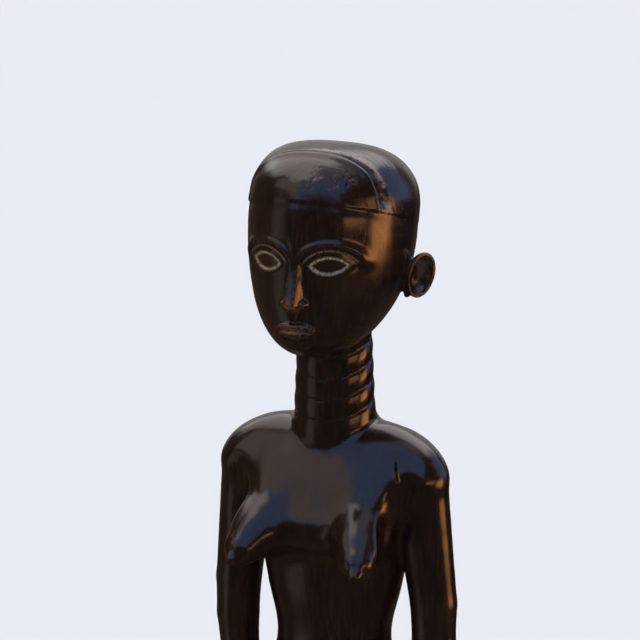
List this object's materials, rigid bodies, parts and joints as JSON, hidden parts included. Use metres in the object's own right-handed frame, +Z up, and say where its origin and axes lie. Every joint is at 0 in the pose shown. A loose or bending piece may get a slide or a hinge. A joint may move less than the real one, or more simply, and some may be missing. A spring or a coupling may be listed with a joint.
{
  "type": "carved standing female figure",
  "caption": "Standing nude woman carved in polished black hardwood, with moulded hair, a long ringed neck and arms held straight down, on a low oval base.",
  "frame": {"origin": "middle of the flat underside of the base", "axes": "+Z up along the figure, -Y the way the face looks, +X towards the figure's left hand"},
  "size_m": [0.0973, 0.1, 0.3876],
  "materials": {
    "blackened_hardwood": "stained near black and hand polished, worn to red-brown on the edges"
  },
  "bodies": {
    "root": {"figure": "blackened_hardwood"}
  },
  "joints": []
}
